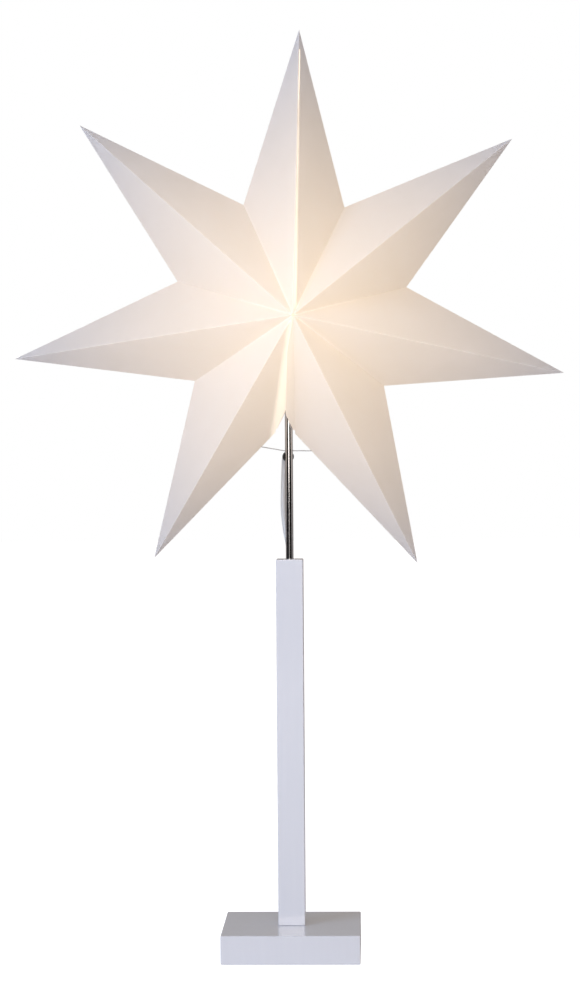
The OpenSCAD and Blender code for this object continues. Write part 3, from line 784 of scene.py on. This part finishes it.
def paper_point(star, i):
    """One folded point of the star: four bowed faces, and flanges on its four inner folds."""
    sheet = Sheet()
    tip = star.tip(i)
    middle = (v3(0, 1, 0), 0.0)
    t = star.paper
    ridge = unit(tip - star.front)
    faces = {side: plane_facing(star.front, star.notch(i, side), tip, star.back) for side in (-1, 1)}
    inset = {side: (n, d + t) for side, (n, d) in faces.items()}
    start = star.front + ridge * star.peak_hole
    start_in = meet(inset[-1], inset[1], (ridge, ridge @ start))
    tip_in = meet(inset[-1], inset[1], middle)
    along = [k / 30 for k in range(31)]
    across = [k / 12 for k in range(13)]
    for side in (-1, 1):
        notch = star.notch(i, side)
        fold = unit(notch - star.front)
        way = star.flange_way(i, side, fold)
        length = np.linalg.norm(notch - star.front)
        free = star.is_free(i, side)
        width = star.free_flange if free else star.flange
        root = star.front + fold * star.peak_hole
        near = star.front + fold * length * (0.3 if free else 0.18) + way * width * (0.69 if free else 1)
        far = star.front + fold * length * (0.82 if free else 0.86) + way * width
        leaf = plane_facing(star.front, notch, star.front + way, (tip + star.back) / 2)
        leaf_in = (leaf[0], leaf[1] + t)
        root_in = meet(inset[side], leaf_in, (fold, fold @ root))
        notch_in = meet(inset[side], leaf_in, middle)
        normal = faces[side][0]

        # Fold, seam and peak distances of an outer point, which place the card's painted glow
        def mark(p, front=star.front, flange=False):
            q = p if p[1] < 0 else mirrored(p)
            reach = line_distance(q, front, fold)
            seam = (0.0 if flange else reach) if free and side < 0 else FAR
            return FAR if free else reach, seam, float(np.linalg.norm(q - front)) * MM

        def mark_flange(p):
            return mark(p, flange=True)

        outer = rows_between(root, notch, tip, start, along, across)
        inner = rows_between(root_in, notch_in, tip_in, start_in, along, across)
        outer = bowed(outer, normal, along, across, star.crown, 7 * i + side)
        inner = bowed(inner, normal, along, across, star.crown, 7 * i + side)
        edge = flange_edge(root, near, far, notch, along)
        edge_in = flange_edge(root_in, near + leaf[0] * t, far + leaf[0] * t, notch_in, along)
        flange = [outer[0], [(a + b) / 2 for a, b in zip(outer[0], edge)], edge]
        flange_in = [inner[0], [(a + b) / 2 for a, b in zip(inner[0], edge_in)], edge_in]
        for flip in (False, True):
            for pair, marker in (((outer, inner), mark), ((flange, flange_in), mark_flange)):
                if flip:
                    pair = [[[mirrored(p) for p in row] for row in rows] for rows in pair]
                sheet.patch(*pair, marker)
    return sheet.build("paper_point_%d" % i)


def ridge_lap(star, i):
    """The glued lap: a second layer inside one ridge of a point."""
    tip = star.tip(i)
    face = plane_facing(star.front, star.notch(i, 1), tip, star.back)
    ridge = unit(tip - star.front)
    way = square_to(star.notch(i, 1) - star.front, ridge)
    length = np.linalg.norm(tip - star.front)
    bow = 0.35 * star.crown
    verts = []
    for depth in (star.paper / 2, 2 * star.paper):
        for along, across in ((0.03, 1.0), (0.93, 1.0), (0.93, star.lap / 2), (0.03, star.lap)):
            verts.append(star.front + ridge * along * length + way * across + face[0] * (depth - bow))
    if i != MIDDLE_POINT:
        verts = [mirrored(p) for p in verts]
    return new_piece("lap_%d" % i, verts, BOX_FACES)


class Step:
    """A step of the build: make() works on the lantern's settings"""

    def execute(self, context):
        self.make(context.scene.star_lantern)
        return {"FINISHED"}


class STARLANTERN_OT_camera(Step, bpy.types.Operator):
    """Sets the camera at the photograph's viewing angle"""

    bl_idname = "starlantern.camera"
    bl_label = "Camera"

    def make(self, settings):
        yaw, pitch, roll = (math.radians(a) for a in CAMERA_TURN)
        forward = Vector((math.sin(yaw) * math.cos(pitch), math.cos(yaw) * math.cos(pitch), math.sin(pitch)))
        right = Vector((math.cos(yaw), -math.sin(yaw), 0))
        above = right.cross(forward)
        across = math.cos(roll) * right + math.sin(roll) * above
        upward = -math.sin(roll) * right + math.cos(roll) * above
        data = bpy.data.cameras.new("camera")
        data.lens = settings.studio.lens
        data.sensor_width = 36.0
        data.clip_end = 100.0
        camera = link(bpy.data.objects.new("camera", data))
        turn = Matrix((across, upward, -forward)).transposed().to_4x4()
        camera.matrix_world = Matrix.Translation(Vector(CAMERA_PLACE)) @ turn
        bpy.context.scene.camera = camera


def exit_point(reach):
    """Place on the cord's way out of the tube, at a reach from the tube's axis."""
    a = math.radians(EXIT_TURN)
    return v3(-reach * math.sin(a), reach * math.cos(a), EXIT_HEIGHT)


def coil_points(turns):
    """The coil's turns: in along the floor, up, and out again on top."""
    found = []
    sweep = 360 * turns
    steps = int(sweep / 10)
    for k in range(1, steps + 1):
        swept = sweep * k / steps
        angle = math.radians(180 - swept)
        radius = np.interp(
            swept, [0, 110, 1110, 1270, 2330, sweep], [37.5, 32.5, 17.5, 17.5, 32.5, 37.5])
        height = np.interp(swept, [0, 60, 1110, 1270, sweep], [2.7, 3.3, 3.3, 8.3, 8.3])
        found.append(v3(COIL_CENTRE[0] + radius * math.cos(angle),
                        COIL_CENTRE[1] + radius * math.sin(angle), height))
    return found


class STARLANTERN_OT_cord(Step, bpy.types.Operator):
    """Lays the power cord from its grommet to its coil and plug"""

    bl_idname = "starlantern.cord"
    bl_label = "Power cord"

    def make(self, settings):
        settings = settings.cord
        straight = [exit_point(reach) for reach in (5.0, 6.2, 7.0)]
        lead = curve_through(straight + [v3(*p) for p in CORD_ROUTE], 4)
        tail = curve_through(TAIL_ROUTE, 3)
        points = lead + coil_points(settings.turns) + tail[1:]
        cord = path_curve("power_cord_line", points, settings.diameter / MM / 2)
        jacket = plain_finish("extruded_pvc", settings.jacket_colour)
        finish_piece(cord, jacket, "white_cord", "power_cord", "cord_coil", "cord_tail")
        body, ribs = plug_pieces()
        dress_node("coil_strap", webbing())
        for pin in ("plug_pin_left", "plug_pin_right"):
            dress_node(pin, plain_finish("nickel_plate"))


def rounded_section(x, width, height, corner, sides=6):
    """Points of an upright rounded rectangle across the plug at x."""
    points = []
    for sy, sz, first in ((1, 1, 0), (-1, 1, 90), (-1, -1, 180), (1, -1, 270)):
        for k in range(sides + 1):
            a = math.radians(first + 90 * k / sides)
            points.append((x, PLUG_ENTRY[1] + sy * (width / 2 - corner) + corner * math.cos(a),
                           PLUG_ENTRY[2] + sz * (height / 2 - corner) + corner * math.sin(a)))
    return points


def plug_pieces():
    """Flat plug with a soft, ribbed relief on the cord's side."""
    x = PLUG_ENTRY[0]
    sections = [(x, 6.2, 6.2, 3.05), (x - 1, 6.5, 6.5, 3.2), (x - 19, 10.5, 10.5, 5.0),
                (x - 20, 14, 12, 4.5), (x - 20.8, 15, 13.2, 4.2), (x - 24, 18.5, 13.8, 4.2),
                (x - 30, 25.5, 14, 4.2), (x - 34, 29.6, 14, 4.2), (x - 37.6, 32.6, 14, 4.2),
                (x - 43, 33, 14, 4), (x - 45.6, 32.8, 13.8, 3.8), (x - 46.6, 31.8, 12.8, 3.4),
                (x - 47, 30.2, 11.2, 2.8)]
    rings = [rounded_section(*s) for s in sections]
    n = len(rings[0])
    faces = [(r * n + k, r * n + (k + 1) % n, (r + 1) * n + (k + 1) % n, (r + 1) * n + k)
             for r in range(len(rings) - 1) for k in range(n)]
    faces += [tuple(range(n)), tuple((len(rings) - 1) * n + k for k in reversed(range(n)))]
    body = new_piece("plug_housing", [p for ring in rings for p in ring], faces, 40)
    plastic = plain_finish("moulded_pvc")
    finish_piece(body, plastic, "white_plug", "plug_body")
    ribs = grown_piece("plug_relief_ribs", row_of_rings_tree(), plastic, {
        "Count": 6, "Start": ((x - 3.5) * MM, PLUG_ENTRY[1] * MM, PLUG_ENTRY[2] * MM),
        "Step": (-2.7 * MM, 0.0, 0.0), "First radius": 3.5 * MM, "Growth": 0.3 * MM})
    finish_piece(ribs, plastic, "white_plug")
    return body, ribs


def grown_piece(name, tree, material, values):
    """Piece that a Geometry Nodes tree makes by itself."""
    seed = link(bpy.data.objects.new("seed", bpy.data.meshes.new("seed")))
    return modified_by_nodes(seed, tree, {**values, "Material": material}, name)


def eased_block(name, width, low, high, edge, cuts):
    """Rounded square block with round holes cut in it; each cut is (x, y, radius, low, high)."""
    h = width / 2
    verts = [(x, y, z) for z in (low, high) for x, y in ((-h, -h), (h, -h), (h, h), (-h, h))]
    block = new_piece(name, verts, BOX_FACES)
    bevel = block.modifiers.new("eased", "BEVEL")
    bevel.width = edge
    bevel.segments = 4
    bevel.harden_normals = True
    drills = []
    for x, y, radius, z_low, z_high in cuts:
        ring = [(x + radius * math.cos(a), y + radius * math.sin(a)) for a in
                (2 * math.pi * k / 48 for k in range(48))]
        points = [(px, py, z) for z in (z_low, z_high) for px, py in ring]
        sides = [(k, (k + 1) % 48, 48 + (k + 1) % 48, 48 + k) for k in range(48)]
        ends = [tuple(reversed(range(48))), tuple(range(48, 96))]
        drill = new_piece("drill", points, sides + ends)
        cut = block.modifiers.new("hole", "BOOLEAN")
        cut.operation = "DIFFERENCE"
        cut.solver = "EXACT"
        cut.object = drill
        drills.append(drill)
    plain = made_plain(block, name, 10)
    for drill in drills:
        bpy.data.objects.remove(drill)
    return plain


class STARLANTERN_OT_stand(Step, bpy.types.Operator):
    """Makes the lacquered base and post, and finishes their screws"""

    bl_idname = "starlantern.stand"
    bl_label = "Base and post"

    def make(self, settings):
        edge = settings.stand.edge
        lacquer = lacquered_wood(settings.stand)
        holes = [(0, side * 8, radius, -1, top) for side in (-1, 1) for radius, top in ((5.3, 8), (2.8, 30))]
        base = eased_block("base_block", BASE_WIDTH, 0, BASE_TOP, edge, holes)
        finish_piece(base, lacquer, "white_lacquer", "base_plate")
        bore = (0, 0, 4.05, TUBE_BOTTOM, POST_TOP + 2)
        post = eased_block("square_post", POST_WIDTH, BASE_TOP, POST_TOP, edge, [bore])
        finish_piece(post, lacquer, "white_lacquer", "post")
        dress_node("base_screws", plain_finish("zinc_plate"))


class STARLANTERN_OT_tube(Step, bpy.types.Operator):
    """Makes the chromed tube with its rolled rim, and finishes the grommet and wires"""

    bl_idname = "starlantern.tube"
    bl_label = "Lamp tube"

    def make(self, settings):
        outer, inner, roll = TUBE_RADIUS, 3.3, 0.35
        rim = [(outer - roll * (1 - math.sin(a)), TUBE_TOP - roll * (1 - math.cos(a)))
               for a in (math.pi / 2 * (1 - k / 4) for k in range(5))]
        profile = [(inner, TUBE_BOTTOM), (outer, TUBE_BOTTOM), (outer, TUBE_TOP - 0.6)] + rim
        tube = new_piece("chrome_tube_wall", *revolved(profile + [(inner, TUBE_TOP)], sides=96))
        finish_piece(tube, chromed_steel(), "chrome_tube", "lamp_tube")
        dress_node("cord_grommet", plain_finish("moulded_rubber"))
        dress_node("wire_brown", plain_finish("brown_pvc_insulation"))
        dress_node("wire_blue", plain_finish("blue_pvc_insulation"))


class STARLANTERN_OT_paper_star(Step, bpy.types.Operator):
    """Folds the points of the paper star"""

    bl_idname = "starlantern.paper_star"
    bl_label = "Paper star"

    def make(self, settings):
        star = StarShape(settings.star)
        card = folded_card(settings.star)
        for i in range(1, POINT_COUNT + 1):
            finish_piece(paper_point(star, i), card, "white_paper", "star_point_%d" % i)
            lap = ridge_lap(star, i)
            lap.name = "paper_lap_%d" % i
            # The lap has no fold distances of its own, so the card's painted glow shows on it at full
            # strength
            finish_piece(lap, card, "white_paper")


def knot(centre):
    """A small overhand knot, as a tube along a trefoil line."""
    points = []
    for k in range(49):
        a = 2 * math.pi * k / 48
        points.append(centre + 0.3 * v3(math.sin(a) + 2 * math.sin(2 * a),
                                        math.cos(a) - 2 * math.cos(2 * a), -math.sin(3 * a)))
    return made_plain(path_curve("knot", points, 0.45, 2), "knot")


class STARLANTERN_OT_tie(Step, bpy.types.Operator):
    """Twists the string that ties the star to the tube"""

    bl_idname = "starlantern.tie"
    bl_label = "Tie string"

    def make(self, settings):
        star = StarShape(settings.star)
        holes = {}
        for side, i, reach in ((-1, 1, 20.0), (1, POINT_COUNT, 24.0)):
            notch = star.notch(i, side)
            holes[side] = notch + unit(star.tip(i) - notch) * reach
        height = EXIT_HEIGHT + GROMMET_HEAD + STRING_RADIUS + GAP
        radius = TUBE_RADIUS + STRING_RADIUS + GAP
        wrap = [v3(-radius * math.cos(a), radius * math.sin(a), height)
                for a in (math.pi * k / 12 for k in range(13))]
        ends = {side: holes[side] + unit(holes[side] - near) * KNOT_REACH
                for side, near in ((-1, wrap[0]), (1, wrap[-1]))}
        path = []
        for places, steps in (([ends[-1], holes[-1]], 3), ([holes[-1], wrap[0]], 10), (wrap, 1),
                              ([wrap[-1], holes[1]], 10), ([holes[1], ends[1]], 3)):
            path = path[:-1] + (list(places) if steps == 1 else curve_through(places, steps))
        thread = plain_finish("twisted_cotton")
        string = modified_by_nodes(path_curve("string_path", path, 0), strand_tree(), {
            "Strand radius": 0.3 * MM, "Lay length": 2.4 * MM, "Material": thread}, "twisted_string")
        pieces = [string] + [knot(ends[side]) for side in (-1, 1)]
        finish_piece(join_pieces("tie_string_twisted", pieces), thread, "grey_string", "tie_string")


class STARLANTERN_OT_holder(Step, bpy.types.Operator):
    """Makes the lamp holder inside the star"""

    bl_idname = "starlantern.holder"
    bl_label = "Lamp holder"

    def make(self, settings):
        resin = plain_finish("moulded_urea_resin")
        cap = [(2.6, TUBE_TOP), (4.05, TUBE_TOP), (4.05, TUBE_TOP - 10), (5.9, TUBE_TOP - 10),
               (6.45, TUBE_TOP - 9.4), (6.45, TUBE_TOP - 0.8), (7.2, TUBE_TOP + 0.4),
               (13.2, CAP_FLOOR - 2.8), (14, CAP_FLOOR - 1.6), (14, CAP_RIM - 1.2), (13.6, CAP_RIM),
               (12.5, CAP_RIM), (12.5, CAP_FLOOR), (2.6, CAP_FLOOR)]
        finish_piece(new_piece("holder_cap_moulding", *revolved(cap)), resin, "white_holder", "holder_cap")
        shell = [(10.95, BLOCK_TOP), (12.45, BLOCK_TOP), (12.45, CAP_RIM), (13.6, CAP_RIM),
                 (14, CAP_RIM + 0.5), (14, CAP_RIM + 3.2), (13.3, CAP_RIM + 3.8),
                 (13.3, SHELL_TOP - 3.4), (14, SHELL_TOP - 2.8),
                 (14, SHELL_TOP - 1), (13.2, SHELL_TOP), (8.75, SHELL_TOP), (8.75, SHELL_TOP - 1.5),
                 (10.95, SHELL_TOP - 1.5)]
        body = new_piece("holder_shell_moulding", *revolved(shell))
        finish_piece(body, resin, "white_holder", "holder_shell")
        ribs = grown_piece("holder_grip_ribs", ring_of_ribs_tree(), resin, {
            "Count": 28, "Radius": 13.3 * MM, "Height": 20.6 * MM, "Width": 1.3 * MM,
            "Middle": (0.0, 0.0, 0.5 * (CAP_RIM + SHELL_TOP + 0.6) * MM)})
        finish_piece(ribs, resin, "white_holder")
        thread = threaded(7.25, BLOCK_TOP, BLOCK_TOP + 26, 0.3, THREAD_PITCH, 6.95)
        brass = plain_finish("pressed_brass")
        finish_piece(new_piece("sleeve_thread", *thread), brass, "brass_contact", "thread_sleeve")
        dress_node("contact_block", plain_finish("fired_steatite"))
        dress_node("centre_contact", brass)


class STARLANTERN_OT_bulb(Step, bpy.types.Operator):
    """Makes the lit bulb: opal globe, screw cap and contact"""

    bl_idname = "starlantern.bulb"
    bl_label = "Bulb"

    def make(self, settings):
        radius = GLOBE_RADIUS
        middle = BULB_FOOT + GLOBE_TOP - radius
        glass = [(0.0, BULB_FOOT + 26), (6.6, BULB_FOOT + 26), (6.6, BULB_FOOT + 28),
                 (7.4, BULB_FOOT + 30.5), (9.6, BULB_FOOT + 33.2)]
        first = math.acos(12.6 / radius)
        for k in range(33):
            a = -first + (math.pi / 2 + first) * k / 32
            glass.append((max(0.0, radius * math.cos(a)), middle + radius * math.sin(a)))
        globe = new_piece("bulb_globe", *revolved(glass, sides=80), 50)
        finish_piece(globe, opal_glass(settings.studio.bulb_strength), "opal_bulb", "bulb")
        thread = threaded(6.8, BULB_FOOT + 4.5, BULB_FOOT + 27, 0.45, THREAD_PITCH, 5.9)
        cap = new_piece("bulb_screw_cap", *thread)
        finish_piece(cap, plain_finish("nickel_plate"), "nickel_pin")
        foot = [(0, BULB_FOOT), (1.6, BULB_FOOT), (2.4, BULB_FOOT + 0.5), (2.5, BULB_FOOT + 1.4),
                (6.3, BULB_FOOT + 4.6), (6.3, BULB_FOOT + 6), (0, BULB_FOOT + 6)]
        insulator = new_piece("bulb_insulator", *revolved(foot, sides=40))
        finish_piece(insulator, plain_finish("fired_steatite"), "white_ceramic")


def seen_plainly(tree):
    """1 for rays from the camera and through glass or card, 0 for the rest."""
    rays = add_node(tree, "ShaderNodeLightPath").outputs
    return calc(tree, "MAXIMUM", rays["Is Camera Ray"], rays["Is Transmission Ray"])


def studio_surface(name, level):
    """Matt white studio surface that the camera, and rays through glass or card, see as plain white."""
    def build(tree):
        matt = add_node(tree, "ShaderNodeBsdfDiffuse", inputs={"Color": linear("#e9e9ea")})
        return added(tree, matt.outputs[0], emission(tree, calc(tree, "MULTIPLY", seen_plainly(tree), level)))
    return new_material(name, build)


def softbox(name, place, target, size, power, colour):
    """Large soft light that looks at a point; the camera doesn't see it directly."""
    data = bpy.data.lights.new(name, "AREA")
    data.shape = "RECTANGLE"
    data.size, data.size_y = size
    data.energy = power
    data.color = linear(colour)[:3]
    light = link(bpy.data.objects.new(name, data))
    light.location = place
    light.rotation_euler = (Vector(target) - Vector(place)).to_track_quat("-Z", "Y").to_euler()
    light.visible_camera = False
    return light


def dark_card(name, first, last, colour):
    """Upright card 1.4 m away between two angles from straight ahead, seen by reflections alone."""
    verts = []
    for z in (120, 1150):
        for distance, angle in ((1400, first), (1400, last), (1410, last), (1410, first)):
            a = math.radians(angle)
            verts.append((distance * math.sin(a), -distance * math.cos(a), z))
    card = new_piece(name, verts, BOX_FACES)
    card.data.materials.append(new_material(name, lambda tree: add_node(
        tree, "ShaderNodeBsdfDiffuse", inputs={"Color": linear(colour)}).outputs[0]))
    card.visible_camera = card.visible_diffuse = card.visible_shadow = card.visible_transmission = False


def background(tree, strength, colour):
    """Light of one colour from all round."""
    return add_node(tree, "ShaderNodeBackground", inputs={
        "Color": linear(colour), "Strength": strength}).outputs[0]


class STARLANTERN_OT_studio(Step, bpy.types.Operator):
    """Sets up the pale floor, the soft light and the white surroundings"""

    bl_idname = "starlantern.studio"
    bl_label = "Studio"

    def make(self, settings):
        settings = settings.studio
        scene = bpy.context.scene
        scene.view_settings.view_transform = "Standard"
        corners = ((-9000, -7000), (9000, -7000), (9000, 11000), (-9000, 11000))
        floor = new_piece("studio_floor", [(x, y, z) for z in (-0.5, 0) for x, y in corners], BOX_FACES)
        floor.data.materials.append(studio_surface("studio_white", 0.86))
        target = (0, 0, 0.5)
        softbox("key_light", (-1.9, -1.9, 1.5), target, (1.4, 1.4), settings.key_power, "#c7dfff")
        softbox("fill_light", (0.1, -3.2, 1.3), target, (1.8, 1.8), settings.fill_power, "#fff5ec")
        dark_card("black_flag", 9.0, 62.0, "#0c0c0d")
        dark_card("grey_flag", -85.0, -22.0, "#1c1c1e")
        world = bpy.data.worlds.new("studio_white")
        scene.world = world
        world.use_nodes = True
        tree = world.node_tree
        tree.nodes.clear()
        surround = mixed(tree, seen_plainly(tree), background(tree, settings.ambient, "#fff7f3"),
                         background(tree, 1.0, "#ffffff"))
        add_node(tree, "ShaderNodeOutputWorld", inputs={"Surface": surround})


OPERATORS = (
    STARLANTERN_OT_camera,
    STARLANTERN_OT_cord,
    STARLANTERN_OT_stand,
    STARLANTERN_OT_tube,
    STARLANTERN_OT_paper_star,
    STARLANTERN_OT_tie,
    STARLANTERN_OT_holder,
    STARLANTERN_OT_bulb,
    STARLANTERN_OT_studio,
)


class STARLANTERN_PT_panel(bpy.types.Panel):
    """Lists the settings and the steps"""

    bl_idname = "STARLANTERN_PT_panel"
    bl_label = "Star lantern"
    bl_space_type = "VIEW_3D"
    bl_region_type = "UI"
    bl_category = "Star lantern"

    def draw(self, context):
        settings = context.scene.star_lantern
        for group in (settings.star, settings.cord, settings.stand, settings.studio):
            box = self.layout.box()
            for name in group.bl_rna.properties.keys():
                if name not in ("rna_type", "name"):
                    box.prop(group, name)
        for operator in OPERATORS:
            self.layout.operator(operator.bl_idname)


CLASSES = (StarSettings, CordSettings, StandSettings, StudioSettings, LanternSettings) + OPERATORS + (
    STARLANTERN_PT_panel,)


def register():
    """Registers the classes and the scene's settings."""
    for item in CLASSES:
        bpy.utils.register_class(item)
    bpy.types.Scene.star_lantern = bpy.props.PointerProperty(type=LanternSettings)


def unregister():
    """Removes the settings and the classes."""
    del bpy.types.Scene.star_lantern
    for item in reversed(CLASSES):
        bpy.utils.unregister_class(item)


def main():
    """Builds the lantern step by step."""
    register()
    for operator in OPERATORS:
        group, name = operator.bl_idname.split(".")
        getattr(getattr(bpy.ops, group), name)()
    bpy.context.view_layer.update()


if __name__ == "__main__":
    main()
